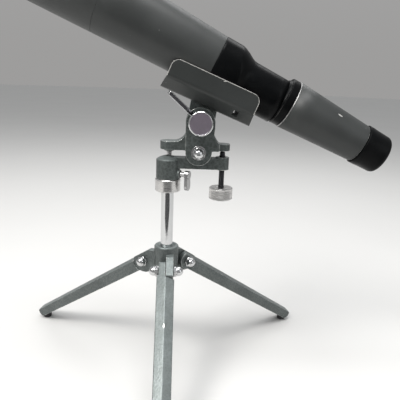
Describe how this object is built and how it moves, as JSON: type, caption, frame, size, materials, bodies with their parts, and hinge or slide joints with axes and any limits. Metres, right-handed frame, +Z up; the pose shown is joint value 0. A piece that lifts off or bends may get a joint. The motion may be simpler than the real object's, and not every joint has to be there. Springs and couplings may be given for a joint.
{
  "type": "spotting scope",
  "caption": "Straight spotting scope with a tapered barrel, lying in the saddle of a small folding table tripod with fine and coarse tilt.",
  "frame": {"origin": "on the table, straight under the tripod's post", "axes": "+Z up along the post, +X the side that the eyepiece points to, +Y away from the clamp lever"},
  "size_m": [0.3836, 0.2822, 0.4298],
  "materials": {
    "casting_paint": "grey-green hammered paint on die castings",
    "leg_paint": "grey-green paint on the legs",
    "barrel_paint": "satin dark grey-green paint",
    "saddle_paint": "satin grey-green paint, bare along the edges",
    "black_paint": "gloss black enamel",
    "eyecup_black": "moulded black",
    "chrome": "polished plating",
    "nickel": "satin nickel plating",
    "dark_steel": "blackened steel",
    "inner_black": "matt black inside the tube",
    "bare_alloy": "turned alloy",
    "glass": "coated glass",
    "rubber": "black rubber"
  },
  "bodies": {
    "stand": {"hub": "casting_paint", "post": "chrome", "post_screw": "nickel", "collar": "nickel", "collar_screw": "dark_steel", "leg_pivot_bolts": "chrome", "leg_acorn_nuts": "chrome"},
    "leg_1": {"leg_1": "leg_paint", "foot_pad_1": "rubber"},
    "leg_2": {"leg_2": "leg_paint", "foot_pad_2": "rubber"},
    "leg_3": {"leg_3": "leg_paint", "foot_pad_3": "rubber"},
    "head": {"head_arm": "casting_paint"},
    "pan_lock": {"pan_lock_screw": "nickel"},
    "screw_tip": {"elevation_tip": "dark_steel"},
    "elevation": {"elevation_screw": "dark_steel", "elevation_knob": "nickel"},
    "rocker": {"rocker_bracket": "casting_paint", "rocker_bolt": "chrome", "rocker_nut": "chrome", "rocker_washers": "chrome", "spring_pin": "chrome", "rocker_spring": "nickel", "clamp_bolt": "nickel", "clamp_nut": "chrome", "clamp_washers": "nickel"},
    "lever": {"clamp_lever": "chrome", "clamp_cap": "nickel"},
    "saddle": {"saddle_plate": "saddle_paint", "saddle_lug": "casting_paint", "saddle_screws": "nickel"},
    "scope": {"objective_cell": "barrel_paint", "objective_ring": "inner_black", "crown_lens": "glass", "flint_lens": "glass", "lens_spacer": "bare_alloy", "front_barrel": "barrel_paint", "baffle_rings": "inner_black", "rear_housing": "black_paint", "rear_flange": "black_paint", "inner_tube": "inner_black", "field_stop": "inner_black"},
    "zoom": {"zoom_sleeve": "barrel_paint"},
    "front_erector": {"front_carriage": "bare_alloy", "front_erector_lens": "glass"},
    "rear_erector": {"rear_carriage": "bare_alloy", "rear_erector_lens": "glass"},
    "eyepiece": {"eyepiece_cell": "inner_black", "field_lens": "glass", "eye_lens": "glass", "eye_lens_ring": "inner_black"},
    "eyecup": {"eyecup": "eyecup_black"}
  },
  "joints": [
    {"name": "leg_1_fold", "type": "hinge", "parent": "stand", "child": "leg_1", "pos_m": [0.00081, -0.02329, 0.1098], "axis": [0.9994, 0.0349, 0], "range_deg": [0, 56]},
    {"name": "leg_2_fold", "type": "hinge", "parent": "stand", "child": "leg_2", "pos_m": [0.01976, 0.01235, 0.1098], "axis": [-0.5299, 0.848, 0], "range_deg": [0, 56]},
    {"name": "leg_3_fold", "type": "hinge", "parent": "stand", "child": "leg_3", "pos_m": [-0.02057, 0.01094, 0.1098], "axis": [-0.4695, -0.8829, 0], "range_deg": [0, 56]},
    {"name": "pan", "type": "hinge", "parent": "stand", "child": "head", "pos_m": [0, 0, 0.2017], "axis": [0, 0, 1], "continuous": true},
    {"name": "pan_lock_turn", "type": "hinge", "parent": "head", "child": "pan_lock", "pos_m": [0, 0, 0.2068], "axis": [0.9272, -0.3746, 0], "range_deg": [0, 80]},
    {"name": "fine_tilt", "type": "hinge", "parent": "head", "child": "rocker", "pos_m": [0.03, 0, 0.2299], "axis": [0, 1, 0], "range_deg": [-6, 6], "deforming": ["rocker_spring"]},
    {"name": "tip_slide", "type": "slide", "parent": "head", "child": "screw_tip", "axis": [0, 0, 1], "range_m": [-0.0026, 0.0026]},
    {"name": "screw_turn", "type": "hinge", "parent": "screw_tip", "child": "elevation", "pos_m": [0.0542, 0, 0.19], "axis": [0, 0, 1], "range_deg": [-720, 720]},
    {"name": "coarse_tilt", "type": "hinge", "parent": "rocker", "child": "saddle", "pos_m": [0.031, 0, 0.2595], "axis": [0, 1, 0], "range_deg": [-18, 22]},
    {"name": "clamp_turn", "type": "hinge", "parent": "rocker", "child": "lever", "pos_m": [0.031, 0, 0.2595], "axis": [0, 1, 0], "range_deg": [-60, 0]},
    {"name": "scope_lift", "type": "slide", "parent": "saddle", "child": "scope", "axis": [0.3746, 0, 0.9272], "range_m": [0, 0.08]},
    {"name": "zoom_turn", "type": "hinge", "parent": "scope", "child": "zoom", "pos_m": [0.15266, 0, 0.26136], "axis": [0.898, 0, -0.4399], "range_deg": [0, 120]},
    {"name": "front_erector_slide", "type": "slide", "parent": "scope", "child": "front_erector", "axis": [0.898, 0, -0.4399], "range_m": [0, 0.0121]},
    {"name": "rear_erector_slide", "type": "slide", "parent": "scope", "child": "rear_erector", "axis": [0.898, 0, -0.4399], "range_m": [0, 0.0041]},
    {"name": "eyepiece_slide", "type": "slide", "parent": "scope", "child": "eyepiece", "axis": [0.898, 0, -0.4399], "range_m": [0, 0.0051]},
    {"name": "eyecup_turn", "type": "hinge", "parent": "eyepiece", "child": "eyecup", "pos_m": [0.20206, 0, 0.23716], "axis": [0.898, 0, -0.4399], "range_deg": [0, 300]}
  ],
  "couplings": [
    {"joint": "tip_slide", "follows": "fine_tilt", "m_per_rad": -0.0242},
    {"joint": "screw_turn", "follows": "fine_tilt", "ratio": -119.73},
    {"joint": "front_erector_slide", "follows": "zoom_turn", "m_per_rad": 0.0057296},
    {"joint": "rear_erector_slide", "follows": "zoom_turn", "m_per_rad": 0.0019099},
    {"joint": "eyepiece_slide", "follows": "eyecup_turn", "m_per_rad": 0.00095493}
  ]
}
